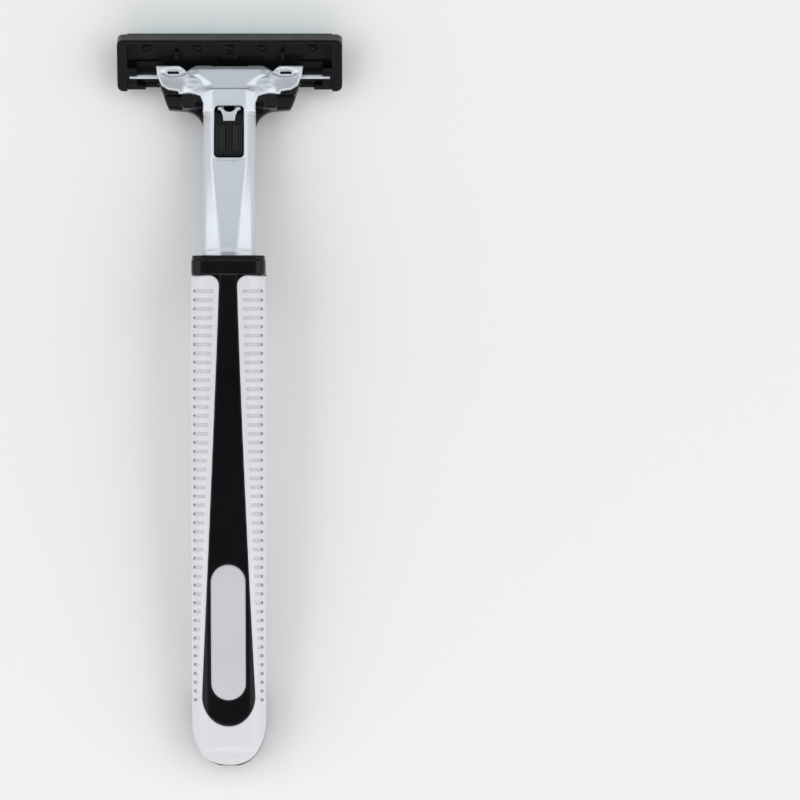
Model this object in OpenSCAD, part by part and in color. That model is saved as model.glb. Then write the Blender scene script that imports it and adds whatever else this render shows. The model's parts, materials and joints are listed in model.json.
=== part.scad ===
// Twin-blade cartridge razor: bowed ribbed handle, slanted neck with a release
// button, and a pivoting cartridge that comes off. Units are millimetres.
// +X across the razor, +Y towards the cartridge, +Z up from the surface that the
// razor lies on with its blades down. The origin is under the middle of its box.

/* [Overall] */
// Length from the tail to the cartridge's far edge
overall_len = 137.2; // [130:0.1:145]
// Width of the handle
handle_w = 13.8; // [12:0.1:16]
// Thickness of the handle
handle_t = 11; // [9:0.1:13]
// Radius of the handle's bow, seen from the side
bow_r = 280; // [220:1:400]

/* [Grip] */
// Distance from one rib to the next
rib_pitch = 1.65; // [1.4:0.05:2.2]
// Width of the groove between two ribs
groove_w = 0.7; // [0.4:0.05:0.9]
// Depth of the grooves
groove_depth = 0.6; // [0.3:0.05:0.9]
// Half width of the black inlay at its collar end
inlay_top = 1.8; // [1.4:0.1:2.4]
// Half width of the black inlay where it is widest
inlay_wide = 4.9; // [4:0.1:5.4]

/* [Neck] */
// Downward slope of the neck, in degrees
neck_slope = 10.4; // [8:0.1:13]
// Half width of the neck cover
cover_half = 4.9; // [4.5:0.1:5.4]
// Travel of the release button
button_travel = 2.6; // [2:0.1:2.8]
// Inward travel of each bearing arm
arm_travel = 1.5; // [1.4:0.1:1.6]

/* [Cartridge] */
// Length of the cartridge along the blades
cart_len = 42; // [38:0.5:44]
// Depth of the cartridge from guard to cap
cart_depth = 10.1; // [9:0.1:11]
// Thickness of the cartridge
cart_t = 4.4; // [4.2:0.1:5]
// Tilt of the shaving plane, in degrees
cart_tilt = 22; // [18:0.5:26]
// Slope of the blades against the shaving plane, in degrees
blade_slope = 13; // [11:0.5:15]

/* [Hidden] */
$fn = 48;
arc_fn = 240;
fine_fn = 32;
gap = 0.1;
past = 1;

// Handle: the tail's round end is centred on tail_y, and touches the surface below it.
tail_y = 6.9 - overall_len / 2;
half_t = handle_t / 2;
half_w = handle_w / 2;
bow_drop = bow_r - sqrt(pow(bow_r, 2) - pow(tail_y, 2));
bow_z = half_t + bow_drop - bow_r;
bow_end = tail_y - 11;
collar_y0 = 23.1;
collar_y1 = 26.65;
core_half_w = 5.6;
core_half_t = half_t - 1.5;
seam = -0.9;
shell_gap = 0.05;
corner_r = 3.4;
crescent_y = tail_y + 3.9;
crescent_r = 7.6;
grip_top_y = 21;
rib_y0 = tail_y + 6.5;
rib_count = floor((20.5 - rib_y0) / rib_pitch);
rear_rib_y0 = tail_y + 14.8;
rear_rib_count = floor((20 - rear_rib_y0) / rib_pitch);
inlay_wide_y = tail_y + 6.6;
pad_half = 3.3;
pad_y0 = tail_y + 5.8;
pad_y1 = tail_y + 31.2;
pad_sink = 0.5;
weight_r = 2.2;
weight_len = 44;
weight_y = -25;
weight_slope = asin(-weight_y / bow_r);
weight_z = bow_z + sqrt(pow(bow_r, 2) - pow(weight_y, 2)) - 0.4;
tang_pin_r = 0.75;

// Neck: its own frame starts at the collar, with s along the neck and n out of its face.
neck_y = collar_y1;
neck_z = 11.3;
cover_top = 3;
cover_skin = 0.7;
cover_skirt = -1.6;
facet_half = 3.2;
stem_half = cover_half - 0.85;
base_bottom = -3;
flange_half = 4.65;
tang_len = 11;
tang_half = 3.3;
window_half = 2.75;
window_s0 = 18.2;
window_s1 = 28.1;
button_s0 = window_s0 + 0.15;
button_s1 = 25.1;
button_half = 2.6;
slider_n = 0.95;
slider_t = 0.45;
spring_turns = 7;
spring_s0 = 10.4;
spring_s1 = 18;
spring_n = 1.05;
wire_r = 0.16;
coil_r = 0.95;
ring_steps = 14;
wire_sides = 6;
head_s = 36.2;
crease_s = 30.9;
head_half = 7;
lobe_half = 8.7;
wing_end = 13.6;
split_n = 0.62;
slide_top = 1.55;
head_floor = -1;
window_corner_r = 0.8;
wing_slot_x = 9.75;
rear_slot_x0 = 5.2;
rear_slot_x1 = 9.2;
spring_bore_r = 1.3;
cavity_s0 = 28.6;
cavity_s1 = 33.5;
cheek_x0 = 3.3;
cheek_x1 = 4.5;

// Cartridge: its own frame starts at the guard's edge, with u from guard to cap and
// w from the shaving plane to the back.
cart_half = cart_len / 2;
guard_y = overall_len / 2 - cart_depth * cos(cart_tilt);
tray_w = 2;
tray_half = cart_half - 1.9;
tray_u0 = 0.9;
notch_half = 15.7;
block_x0 = 17.3;
block_top = 4.9;
rim_w = 3.25;
axis_u = 2.78;
axis_w = 3.8;
axis_y = guard_y + axis_u * cos(cart_tilt) - axis_w * sin(cart_tilt);
axis_z = axis_u * sin(cart_tilt) + axis_w * cos(cart_tilt);
axis_s = (axis_y - neck_y) * cos(neck_slope) - (axis_z - neck_z) * sin(neck_slope);
axis_n = (axis_y - neck_y) * sin(neck_slope) + (axis_z - neck_z) * cos(neck_slope);
arm_r = 0.8;
pin_r = 0.4;
arm_fit = 0.05;
barrel_r = 1.5;
wing_r = 2.1;
arm_x0 = 6.6;
arm_x1 = 13.2;
pin_x1 = 18.8;
tab_x0 = 4.9;
tab_x1 = 8.2;
cam_x = 5.8;
cam_s = 29.9;
cam_r = 0.45;
hub_r = 1.3;
hub_half = 3;
lever_pin_r = 0.6;
lever_reach = 1.3;
lever_sweep_r = 2.3;
lever_pin_half = 4.4;
barrel_half = 13.4;
leaf_half = 1.2;
leaf_t = 0.12;
leaf_s0 = 30.8;
finger_slot_half = 1.4;
finger_slot_s0 = 30.6;
pivot_max = 34;

// Blades
blade_half = 19.2;
blade_t = 0.15;
edge_u = 4;
edge_w = 0.15;
blade_step_u = 1.6;
blade_step_w = -0.05;
upper_b = blade_step_u * cos(blade_slope) + blade_step_w * sin(blade_slope);
upper_v = blade_step_w * cos(blade_slope) - blade_step_u * sin(blade_slope);
blade_back = 5.15;
bevel_len = 0.45;
spacer_set_back = 0.9;
peg_u = 7.94;
peg_r = 0.5;
peg_x = [-15.5, -6, 0, 6, 15.5];
strip_half = 17.25;
cap_u0 = 6.5;
pocket_u0 = 3.7;
pocket_u1 = 9.25;
pocket_w = 1.52;
cap_wall_u = cart_depth - 0.7;
strip_u0 = 7.6;

// ---------- frames and helpers ----------

module in_neck() {
  translate([0, neck_y, neck_z]) rotate([-neck_slope, 0, 0]) children();
}

module in_cartridge() {
  translate([0, guard_y, 0]) rotate([cart_tilt, 0, 0]) children();
}

module in_blades() {
  in_cartridge() translate([0, edge_u, edge_w]) rotate([blade_slope, 0, 0]) children();
}

module in_weight() {
  translate([0, weight_y, weight_z]) rotate([weight_slope - 90, 0, 0]) children();
}

module in_tang_pin() {
  in_neck() translate([0, -6, -0.2]) children();
}

// A slab across X whose outline is drawn in a frame's second and third axes.
module across(half) {
  rotate([90, 0, 90]) translate([0, 0, -half]) linear_extrude(2 * half) children();
}

module box(half_x, y0, y1, z0, z1) {
  translate([-half_x, y0, z0]) cube([2 * half_x, y1 - y0, z1 - z0]);
}

module side_box(x0, x1, y0, y1, z0, z1) {
  translate([x0, y0, z0]) cube([x1 - x0, y1 - y0, z1 - z0]);
}

module rod_x(r, x0, x1) {
  translate([x0, 0, 0]) rotate([0, 90, 0]) cylinder(r = r, h = x1 - x0);
}

module both_sides() {
  children();
  mirror([1, 0, 0]) children();
}

module round_rect(half_x, y0, y1, r) {
  translate([0, (y0 + y1) / 2]) {
    square([2 * (half_x - r), y1 - y0], center = true);
    square([2 * half_x, y1 - y0 - 2 * r], center = true);
    for (sx = [-1, 1], sy = [-1, 1])
      translate([sx * (half_x - r), sy * ((y1 - y0) / 2 - r)]) circle(r = r, $fn = fine_fn);
  }
}

// ---------- handle shapes ----------

// Sweeps a cross-section (x across, y out of the front face) along the handle's bow.
module bowed(y0, y1) {
  a0 = asin(y0 / bow_r);
  a1 = asin(y1 / bow_r);
  translate([0, 0, bow_z])
    rotate([90, 0, 90])
      rotate([0, 0, 90 - a1])
        rotate_extrude(angle = a1 - a0, $fn = arc_fn * 4)
          translate([bow_r, 0]) rotate([0, 0, -90]) children();
}

// Outline of the handle seen from above, to its round tail.
module handle_plan(half, end_r) {
  translate([-half, tail_y]) square([2 * half, collar_y1 - tail_y]);
  translate([0, tail_y]) circle(r = end_r, $fn = 96);
}

// Outline of the handle's end seen from the side, with y to the right.
module tail_side(r) {
  translate([tail_y, half_w - r]) square([collar_y1 - tail_y + past, 30]);
  translate([tail_y, half_w]) circle(r = r, $fn = 96);
}

module handle_ends(half, end_r, side_r) {
  intersection() {
    children();
    linear_extrude(30, center = false) handle_plan(half, end_r);
    across(half + past) tail_side(side_r);
  }
}

// Outline of the black inlay, seen from above.
module inlay_plan(grow) {
  polygon([
    [-inlay_top - grow, collar_y1], [inlay_top + grow, collar_y1],
    [inlay_wide - 1.3 + grow, -25], [inlay_wide + grow, inlay_wide_y],
    [-inlay_wide - grow, inlay_wide_y], [-inlay_wide + 1.3 - grow, -25]
  ]);
  translate([0, inlay_wide_y]) circle(r = inlay_wide + grow);
}

// Area above the round lower edge of the rear grip, seen from above.
module crescent_plan(r) {
  translate([0, crescent_y + crescent_r]) circle(r = r, $fn = 96);
  translate([-r, crescent_y + crescent_r]) square([2 * r, 90]);
}

module pad_plan(grow) {
  round_rect(pad_half + grow, pad_y0 - grow, pad_y1 + grow, pad_half + grow - 0.01);
}

module rib_grooves(first, count, out0, out1) {
  for (i = [0 : count - 1])
    translate([0, first + i * rib_pitch, 0]) box(half_w + past, -groove_w / 2, groove_w / 2, out0, out1);
}

// ---------- handle ----------

module core_solid() {
  handle_ends(core_half_w, core_half_w, core_half_w) bowed(bow_end, collar_y0)
    round_rect(core_half_w, -core_half_t, core_half_t, 1);
  handle_ends(half_w, half_w, half_w) difference() {
    bowed(bow_end, crescent_y + 7) round_rect(half_w, -half_t, seam, 0.4);
    linear_extrude(30) crescent_plan(crescent_r + gap);
  }
  intersection() {
    bowed(-66, collar_y0 + past) round_rect(half_w, 0, half_t, 0.4);
    linear_extrude(30) inlay_plan(0);
  }
  bowed(collar_y0, collar_y1) round_rect(half_w - 0.05, -half_t + 0.2, half_t + 0.1, 1.6);
}

module handle_core() {
  color([0.05, 0.05, 0.06]) difference() {
    core_solid();
    in_neck() box(tang_half + gap, -tang_len - gap, past, -2.3, 1.9);
    in_weight() cylinder(r = weight_r + gap, h = weight_len + 2 * gap, center = true);
    in_tang_pin() rod_x(tang_pin_r, -core_half_w - past, core_half_w + past);
    in_neck() box(cover_half + gap, -1.4, past + 1, base_bottom - gap, cover_top + gap);
    intersection() {
      bowed(-66, -20) round_rect(half_w, half_t - pad_sink, half_t + past, 0.1);
      linear_extrude(40) pad_plan(gap);
    }
  }
}

module front_shell() {
  color([0.92, 0.92, 0.94]) difference() {
    handle_ends(half_w, half_w, half_w) bowed(bow_end, collar_y0 - shell_gap) difference() {
      round_rect(half_w, seam - corner_r, half_t, corner_r);
      translate([-half_w - past, -half_t - past]) square([handle_w + 2 * past, half_t + past + seam + gap]);
      round_rect(core_half_w + shell_gap, -core_half_t, core_half_t + shell_gap, 1);
    }
    linear_extrude(40) inlay_plan(shell_gap);
    difference() {
      intersection() {
        rib_grooves(rib_y0, rib_count, 0, 30);
        bowed(-66, collar_y0) difference() {
          square([handle_w + 2, handle_t + 2], center = true);
          round_rect(half_w - groove_depth, -half_t, half_t - groove_depth, corner_r - 0.5);
        }
      }
      linear_extrude(40) inlay_plan(0.9);
    }
  }
}

module rear_grip() {
  color([0.84, 0.84, 0.87]) difference() {
    intersection() {
      bowed(-60, grip_top_y) difference() {
        round_rect(half_w, -half_t, seam + corner_r, corner_r);
        translate([-half_w - past, seam]) square([handle_w + 2 * past, half_t + past]);
        round_rect(core_half_w + shell_gap, -core_half_t - shell_gap, core_half_t, 1);
      }
      linear_extrude(30) crescent_plan(crescent_r);
    }
    intersection() {
      rib_grooves(rear_rib_y0, rear_rib_count, -past, 30);
      bowed(-66, collar_y0) difference() {
        square([handle_w + 2, handle_t + 2], center = true);
        round_rect(half_w - groove_depth, -half_t + groove_depth, half_t, corner_r - 0.5);
      }
    }
  }
}

module thumb_pad() {
  color([0.8, 0.8, 0.83]) intersection() {
    bowed(-66, -20) round_rect(half_w, half_t - pad_sink + 0.02, half_t + 0.15, 0.1);
    linear_extrude(30) pad_plan(0);
  }
}

module handle_weight() {
  color("silver") in_weight() cylinder(r = weight_r, h = weight_len, center = true);
}

module tang_pin() {
  color("silver") in_tang_pin() rod_x(tang_pin_r, -core_half_w + 0.2, core_half_w - 0.2);
}

// ---------- neck ----------

// Outline of the black head that carries the wings, seen along n.
module head_plan() {
  difference() {
    polygon([
      [-13.2, 33.2], [13.2, 33.2], [11.6, 28.6], [8, 27.4], [flange_half, 23.2],
      [-flange_half, 23.2], [-8, 27.4], [-11.6, 28.6]
    ]);
    for (side = [-1, 1]) translate([side * (flange_half + 4.6), 23.4]) circle(r = 4.3);
  }
}

// Space that the return lever sweeps as the cartridge pivots.
module lever_sweep() {
  translate([0, axis_s, axis_n]) {
    rod_x(hub_r + 0.15, -cheek_x0, cheek_x0);
    intersection() {
      rod_x(lever_sweep_r, -cheek_x0, cheek_x0);
      rotate([pivot_max + cart_tilt + neck_slope - 90, 0, 0]) box(5, -4, 4, -4, lever_reach + 0.12);
    }
    box(cheek_x0, -lever_sweep_r, 0, -4, 0);
  }
}

module neck_base() {
  color([0.13, 0.13, 0.14]) difference() {
    union() {
      in_neck() {
        box(stem_half - 0.05, -1.3, 29, -1.75, 0.6);
        box(flange_half, 8, 24, base_bottom, cover_skirt - 0.1);
        translate([0, 0, base_bottom]) linear_extrude(1.3) round_rect(3.6, -1.3, 12, 2);
        box(tang_half, -tang_len, 0.5, -2.2, 1.8);
        translate([0, 0, base_bottom]) linear_extrude(head_floor - base_bottom) head_plan();
        translate([0, 0, head_floor - 0.2]) linear_extrude(1.8) intersection() {
          head_plan();
          translate([-11.8, 20]) square([23.6, 20]);
        }
        translate([0, axis_s, axis_n]) rod_x(barrel_r, -barrel_half, barrel_half);
      }
    }
    in_neck() {
      both_sides() {
        side_box(cheek_x0, lobe_half - 0.2, cavity_s0, cavity_s1, head_floor, past);
        side_box(cheek_x1, lobe_half - 0.2, cavity_s1 - past, axis_s + 1, head_floor, 0.5);
        translate([0, axis_s, axis_n]) rod_x(arm_r + arm_fit, lever_pin_half, barrel_half + past);
      }
      translate([0, axis_s, axis_n]) rod_x(lever_pin_r, -lever_pin_half, lever_pin_half);
      lever_sweep();
      box(finger_slot_half, finger_slot_s0, axis_s + 0.4, -0.2, past);
      translate([0, 33.2, base_bottom - 0.4]) rotate([-38, 0, 0]) box(14, 0, 4, -4, 0);
      both_sides() side_box(rear_slot_x0, rear_slot_x1, 31.3, 32, base_bottom - past, -0.9);
      translate([0, spring_s0 - 0.2, spring_n]) rotate([-90, 0, 0]) cylinder(r = spring_bore_r, h = 9);
    }
    in_tang_pin() rod_x(tang_pin_r, -core_half_w, core_half_w);
  }
}

module cover_section(grow) {
  polygon([
    [-cover_half + grow, cover_skirt - grow], [-cover_half + grow, 0.9],
    [-facet_half + 0.4 * grow, cover_top - grow], [facet_half - 0.4 * grow, cover_top - grow],
    [cover_half - grow, 0.9], [cover_half - grow, cover_skirt - grow]
  ]);
}

// Side outline of the cover's head, along s and n.
module head_side(skin) {
  polygon([
    [28, 0.7 - skin], [28, cover_top - skin], [crease_s, cover_top - skin],
    [35.2, 1.75 - skin], [head_s - skin, 1.1 - skin], [head_s - skin, 0.2], [34.5, 0.2]
  ]);
}

module along_neck(s0, s1) {
  translate([0, s0, 0]) mirror([0, 1, 0]) rotate([90, 0, 0]) linear_extrude(s1 - s0) children();
}

module neck_cover() {
  color([0.75, 0.77, 0.8]) difference() {
    in_neck() union() {
      along_neck(-1.2, crease_s) cover_section(0);
      intersection() {
        across(head_half) head_side(0);
        box(head_half, 29, head_s, -past, 5);
      }
      both_sides() {
        side_box(head_half - 0.2, lobe_half, 30.2, cavity_s1, split_n, 1.3);
        translate([0, axis_s, axis_n]) intersection() {
          rod_x(wing_r, head_half - 0.2, wing_end);
          rotate([14, 0, 0]) side_box(0, 20, -4, 4, 0, 4);
          box(20, -4, 4, 0, 4);
        }
      }
    }
    in_neck() {
      along_neck(-3, 28.7) cover_section(cover_skin + 0.1);
      linear_extrude(9) round_rect(window_half, window_s0, window_s1, window_corner_r);
      box(head_half - 0.5, cavity_s0 - 0.1, cavity_s1, -past, slide_top);
      box(stem_half, 28, cavity_s1, -past, slide_top);
      box(finger_slot_half, finger_slot_s0, axis_s + 0.4, -past, axis_n + hub_r + 0.3);
      box(2.3, 28, crease_s, -past, 2.1);
      translate([0, axis_s, axis_n]) rod_x(barrel_r + 0.05, -wing_end - past, wing_end + past);
      box(20, 23.1, axis_s, -4, split_n);
      both_sides() side_box(cheek_x1, head_half, 30, head_s, -past, split_n);
      lever_sweep();
      both_sides() translate([wing_slot_x, axis_s + 0.1, axis_n + wing_r - 0.25]) linear_extrude(2)
        round_rect(1.1, -0.3, 0.3, 0.29);
    }
  }
}

// ---------- release ----------

module release_button() {
  color([0.06, 0.06, 0.07]) in_neck() {
    translate([0, 0, slider_n + slider_t]) linear_extrude(cover_top + 0.2 - slider_n - slider_t)
      round_rect(button_half, button_s0, button_s1, 0.6);
    both_sides() side_box(0.5, 1.8, button_s0 + 0.7, button_s1 - 0.7, 3, 3.7);
  }
}

module release_fork() {
  color([0.85, 0.86, 0.88]) in_neck() {
    box(button_half - 0.2, button_s0, button_s1 - 0.2, slider_n, slider_n + slider_t);
    box(1.2, button_s1 - 0.3, cam_s, slider_n, slider_n + slider_t);
    box(cam_x + cam_r + 0.05, cam_s - 0.6, cam_s + 0.6, slider_n, slider_n + slider_t);
    both_sides() {
      translate([cam_x, cam_s, -0.9]) cylinder(r = cam_r, h = slider_n + 1);
      translate([1.5, 27.5, slider_n + slider_t]) sphere(r = 0.45, $fn = fine_fn);
    }
  }
}

// Helix of round wire along +Y.
module coil(turns, length, radius) {
  steps = turns * ring_steps;
  points = [
    for (i = [0 : steps], k = [0 : wire_sides - 1])
      let (a = i * 360 / ring_steps, b = k * 360 / wire_sides, r = radius + wire_r * cos(b))
        [r * cos(a), i * length / steps + wire_r * sin(b), r * sin(a)]
  ];
  sides = [
    for (i = [0 : steps - 1], k = [0 : wire_sides - 1])
      let (k2 = (k + 1) % wire_sides)
        [i * wire_sides + k, (i + 1) * wire_sides + k, (i + 1) * wire_sides + k2, i * wire_sides + k2]
  ];
  ends = [
    [for (k = [0 : wire_sides - 1]) k],
    [for (k = [wire_sides - 1 : -1 : 0]) steps * wire_sides + k]
  ];
  polyhedron(points, concat(sides, ends));
}

module button_spring() {
  color("silver") in_neck() translate([0, spring_s0 + wire_r, spring_n])
    coil(spring_turns, spring_s1 - spring_s0 - 2 * wire_r, coil_r);
}

module bearing_arm() {
  in_neck() difference() {
    union() {
      translate([0, axis_s, axis_n]) {
        rod_x(arm_r, arm_x0, arm_x1);
        rod_x(pin_r, arm_x1 - past, pin_x1);
      }
      side_box(tab_x0, tab_x1, 28.9, 33.3, -0.85, 0.2);
      side_box(arm_x0 + 0.1, tab_x1, 33, axis_s, -0.85, -0.1);
    }
    hull() for (end = [0, 1])
      translate([cam_x + end * arm_travel, cam_s + end * button_travel, -2])
        cylinder(r = cam_r + 0.08, h = 4, $fn = fine_fn);
  }
}

module bearing_arm_right() {
  color("silver") bearing_arm();
}

module bearing_arm_left() {
  color("silver") mirror([1, 0, 0]) bearing_arm();
}

// ---------- pivot ----------

module return_lever() {
  color([0.3, 0.3, 0.32]) difference() {
    union() {
      in_neck() translate([0, axis_s, axis_n]) rod_x(hub_r, -hub_half, hub_half);
      in_cartridge() box(hub_half - 0.4, axis_u - 0.4, axis_u + lever_reach, tray_w + 0.06, axis_w);
    }
    in_neck() translate([0, axis_s, axis_n]) rod_x(lever_pin_r + 0.05, -hub_half - past, hub_half + past);
    in_cartridge() translate([0, axis_u, axis_w]) rotate([-60, 0, 0]) box(4, hub_r, 5, 0, 5);
  }
}

module lever_pin() {
  color("silver") in_neck() translate([0, axis_s, axis_n])
    rod_x(lever_pin_r, -lever_pin_half, lever_pin_half);
}

module lever_spring() {
  color("silver") in_neck() {
    box(leaf_half, leaf_s0, axis_s + 0.2, axis_n + hub_r + 0.2 - leaf_t, axis_n + hub_r + 0.2);
    translate([0, leaf_s0 + 0.15, axis_n + hub_r - 0.02]) rod_x(0.22, -leaf_half, leaf_half);
  }
}

// ---------- cartridge ----------

module pegs(r, w0, w1) {
  for (x = peg_x) translate([x, peg_u, w0]) cylinder(r = r, h = w1 - w0, $fn = 24);
}

module blade_outline(front, v0, v1, bevel) {
  polygon([
    [front, (v0 + v1) / 2], [front + bevel, v0], [blade_back, v0],
    [blade_back, v1], [front + bevel, v1]
  ]);
}

// Socket beside the end wall that takes a bearing pin, open towards the guard.
module bearing_block() {
  difference() {
    across_side(block_x0, tray_half + 0.1) polygon([
      [tray_u0 - 0.1, tray_w - 0.1], [tray_u0 - 0.1, block_top], [4, block_top],
      [4.6, block_top - 0.6], [4.6, tray_w - 0.1]
    ]);
    translate([0, axis_u, axis_w]) {
      rod_x(pin_r + arm_fit, block_x0 - past, tray_half);
      side_box(block_x0 - past, tray_half, -5, 0, -pin_r - arm_fit, pin_r + arm_fit);
    }
  }
}

module across_side(x0, x1) {
  translate([x0, 0, 0]) rotate([90, 0, 90]) linear_extrude(x1 - x0) children();
}

module housing_side() {
  polygon([
    [0.5, 0], [cart_depth - 0.6, 0], [cart_depth, 0.5], [cart_depth, cart_t], [0, cart_t], [0, 0.5]
  ]);
}

// Space under the blades and the cap.
module blade_pocket_side() {
  polygon([
    [pocket_u0, -past], [pocket_u0, 0.3], [pocket_u1, pocket_w], [cap_wall_u, pocket_w],
    [cap_wall_u, 0.6], [cart_depth + past, 0.6], [cart_depth + past, -past]
  ]);
}

module cartridge_housing() {
  color([0.12, 0.12, 0.13]) in_cartridge() {
    difference() {
      intersection() {
        across(cart_half) housing_side();
        linear_extrude(9, center = true) round_rect(cart_half, 0, cart_depth, 1.1);
      }
      box(tray_half, tray_u0, cart_depth - 0.8, tray_w, cart_t + past);
      box(notch_half, -past, 2, tray_w, cart_t + past);
      box(tray_half, -past, 2, rim_w, cart_t + past);
      across(tray_half + 0.4) blade_pocket_side();
      pegs(peg_r + 0.05, past - 0.2, cart_t);
      across(tray_half - 0.6) for (i = [0, 1]) translate([1.2 + i * 0.9, 0]) circle(r = 0.16, $fn = 16);
    }
    both_sides() {
      bearing_block();
      side_box(9.6, 10.2, 5.6, 7.4, tray_w - 0.1, tray_w + 1.2);
      side_box(2.2, 10, cart_depth - 0.75, cart_depth - 0.15, cart_t - 0.1, cart_t + 0.25);
    }
  }
}

module lower_blade() {
  color([0.8, 0.81, 0.83]) difference() {
    in_blades() across(blade_half) blade_outline(0, 0, blade_t, bevel_len);
    in_cartridge() pegs(peg_r + 0.05, -past, 5);
  }
}

module blade_spacer() {
  color([0.1, 0.1, 0.11]) difference() {
    in_blades() across(blade_half - 0.5) translate([spacer_set_back, upper_v + blade_t])
      square([blade_back - spacer_set_back, -upper_v - blade_t]);
    in_cartridge() pegs(peg_r + 0.05, -past, 5);
  }
}

module upper_blade() {
  color([0.86, 0.87, 0.89]) difference() {
    in_blades() across(blade_half) blade_outline(upper_b, upper_v, upper_v + blade_t, bevel_len);
    in_cartridge() pegs(peg_r + 0.05, -past, 5);
  }
}

module cartridge_cap() {
  color([0.09, 0.1, 0.09]) in_cartridge() {
    difference() {
      across(blade_half) cap_side();
      box(strip_half + 0.05, strip_u0, cart_depth + past, -past, 0.16);
    }
    pegs(peg_r, 0.3, tray_w + 0.3);
    pegs(0.75, tray_w + 0.02, tray_w + 0.32);
  }
}

// The cap's outline: its underside lies on the upper blade.
module cap_side() {
  intersection() {
    polygon([
      [cap_u0, 0.6], [cap_u0 + 0.15, 0], [strip_u0 - 0.2, -0.2], [cart_depth - 0.5, -0.1],
      [cart_depth, 0.25], [cart_depth, 0.58], [cart_depth - 0.85, 0.58], [cart_depth - 0.85, 1.4],
      [cap_u0, 1.4]
    ]);
    translate([edge_u, edge_w]) rotate(blade_slope) translate([0, -20 + upper_v - 0.01]) square([20, 20]);
  }
}

module lubricating_strip() {
  color([0.24, 0.78, 0.72]) in_cartridge() across(strip_half) polygon([
    [strip_u0 + 0.02, 0.15], [strip_u0 + 0.02, -0.22], [strip_u0 + 0.2, -0.34],
    [cart_depth - 0.4, -0.24], [cart_depth - 0.05, 0.05], [cart_depth - 0.05, 0.15]
  ]);
}

handle_core();
front_shell();
rear_grip();
thumb_pad();
handle_weight();
tang_pin();
neck_base();
neck_cover();
release_button();
release_fork();
button_spring();
bearing_arm_left();
bearing_arm_right();
return_lever();
lever_pin();
lever_spring();
cartridge_housing();
lower_blade();
blade_spacer();
upper_blade();
cartridge_cap();
lubricating_strip();
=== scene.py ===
"""Looks of the cartridge razor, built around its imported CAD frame.

Each visible piece is a solid given by a field that is negative inside it. The field is written
in millimetres in the piece's own frame, meshed, and placed where the CAD says.
"""
import json
import math

import bpy
import numpy as np
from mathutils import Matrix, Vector


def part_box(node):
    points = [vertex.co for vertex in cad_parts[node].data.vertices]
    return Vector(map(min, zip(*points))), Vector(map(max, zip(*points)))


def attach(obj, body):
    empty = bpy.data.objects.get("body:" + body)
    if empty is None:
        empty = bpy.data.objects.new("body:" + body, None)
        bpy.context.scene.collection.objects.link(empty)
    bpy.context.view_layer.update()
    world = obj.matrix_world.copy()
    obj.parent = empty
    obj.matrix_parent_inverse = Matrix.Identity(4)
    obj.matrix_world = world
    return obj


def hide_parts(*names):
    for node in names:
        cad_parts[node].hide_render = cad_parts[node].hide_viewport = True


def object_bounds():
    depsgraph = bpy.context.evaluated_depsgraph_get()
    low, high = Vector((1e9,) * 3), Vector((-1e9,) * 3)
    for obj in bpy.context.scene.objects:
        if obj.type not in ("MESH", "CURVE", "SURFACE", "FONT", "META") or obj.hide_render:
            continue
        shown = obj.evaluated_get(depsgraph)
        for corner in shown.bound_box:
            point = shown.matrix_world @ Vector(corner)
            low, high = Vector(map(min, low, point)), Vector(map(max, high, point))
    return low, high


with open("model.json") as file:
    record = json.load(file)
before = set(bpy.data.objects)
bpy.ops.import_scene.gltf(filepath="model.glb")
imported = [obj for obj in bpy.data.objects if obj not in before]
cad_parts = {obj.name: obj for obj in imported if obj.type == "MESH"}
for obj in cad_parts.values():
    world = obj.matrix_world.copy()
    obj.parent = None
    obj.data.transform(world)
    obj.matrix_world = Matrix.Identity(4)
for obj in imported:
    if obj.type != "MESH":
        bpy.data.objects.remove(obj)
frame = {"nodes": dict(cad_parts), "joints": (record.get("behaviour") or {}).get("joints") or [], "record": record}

MM = 0.001
cad_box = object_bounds()


# ---------- places taken from the frame, in millimetres ----------

def joint(name):
    """The frame's entry for one joint."""
    return next(entry for entry in frame["joints"] if entry["name"] == name)


def corner(node, end, axis):
    """One coordinate of a CAD node's lowest (end 0) or highest (end 1) corner."""
    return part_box(node)[end][axis] / MM


slide_axis = joint("button_slide")["axis"]
release_axis = joint("cartridge_release")["axis"]
pivot_y, pivot_z = (value / MM for value in joint("cartridge_pivot")["pos_m"][1:])
neck_angle = math.atan2(slide_axis[2], slide_axis[1])
cart_angle = math.atan2(release_axis[2], release_axis[1])

# Handle: bowed in side view on a circle whose centre is under the middle of the razor.
BOW_R = 280.0
HALF_T = 5.5
HALF_W = corner("front_shell", 1, 0)
TIP_Y = cad_box[0].y / MM
TAIL_Y = TIP_Y + HALF_W
BOW_Z = HALF_T - math.sqrt(BOW_R ** 2 - TAIL_Y ** 2)

# The pivot's place in the neck's frame (s along it, n out of its face) and in the cartridge's
# frame (u from guard to cap, w from the shaving plane to the back).
PIVOT_S, PIVOT_N = 34.40, -0.534
PIVOT_U, PIVOT_W = 2.78, 3.8
CART_HALF = corner("cartridge_housing", 1, 0)
CART_DEPTH = 10.1
CART_T = 4.4


class Frame:
    """A frame turned about X, from the place of one point in it."""

    def __init__(self, angle, at, y, z):
        self.cos, self.sin = math.cos(angle), math.sin(angle)
        self.y = y - at[0] * self.cos + at[1] * self.sin
        self.z = z - at[0] * self.sin - at[1] * self.cos

    def place(self, x, a, b):
        """Row coordinates of a point of the frame."""
        return x, self.y + a * self.cos - b * self.sin, self.z + a * self.sin + b * self.cos

    def find(self, y, z):
        """The frame's two coordinates of a row point."""
        dy, dz = y - self.y, z - self.z
        return dy * self.cos + dz * self.sin, dz * self.cos - dy * self.sin


neck = Frame(neck_angle, (PIVOT_S, PIVOT_N), pivot_y, pivot_z)
cart = Frame(cart_angle, (PIVOT_U, PIVOT_W), pivot_y, pivot_z)


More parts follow.
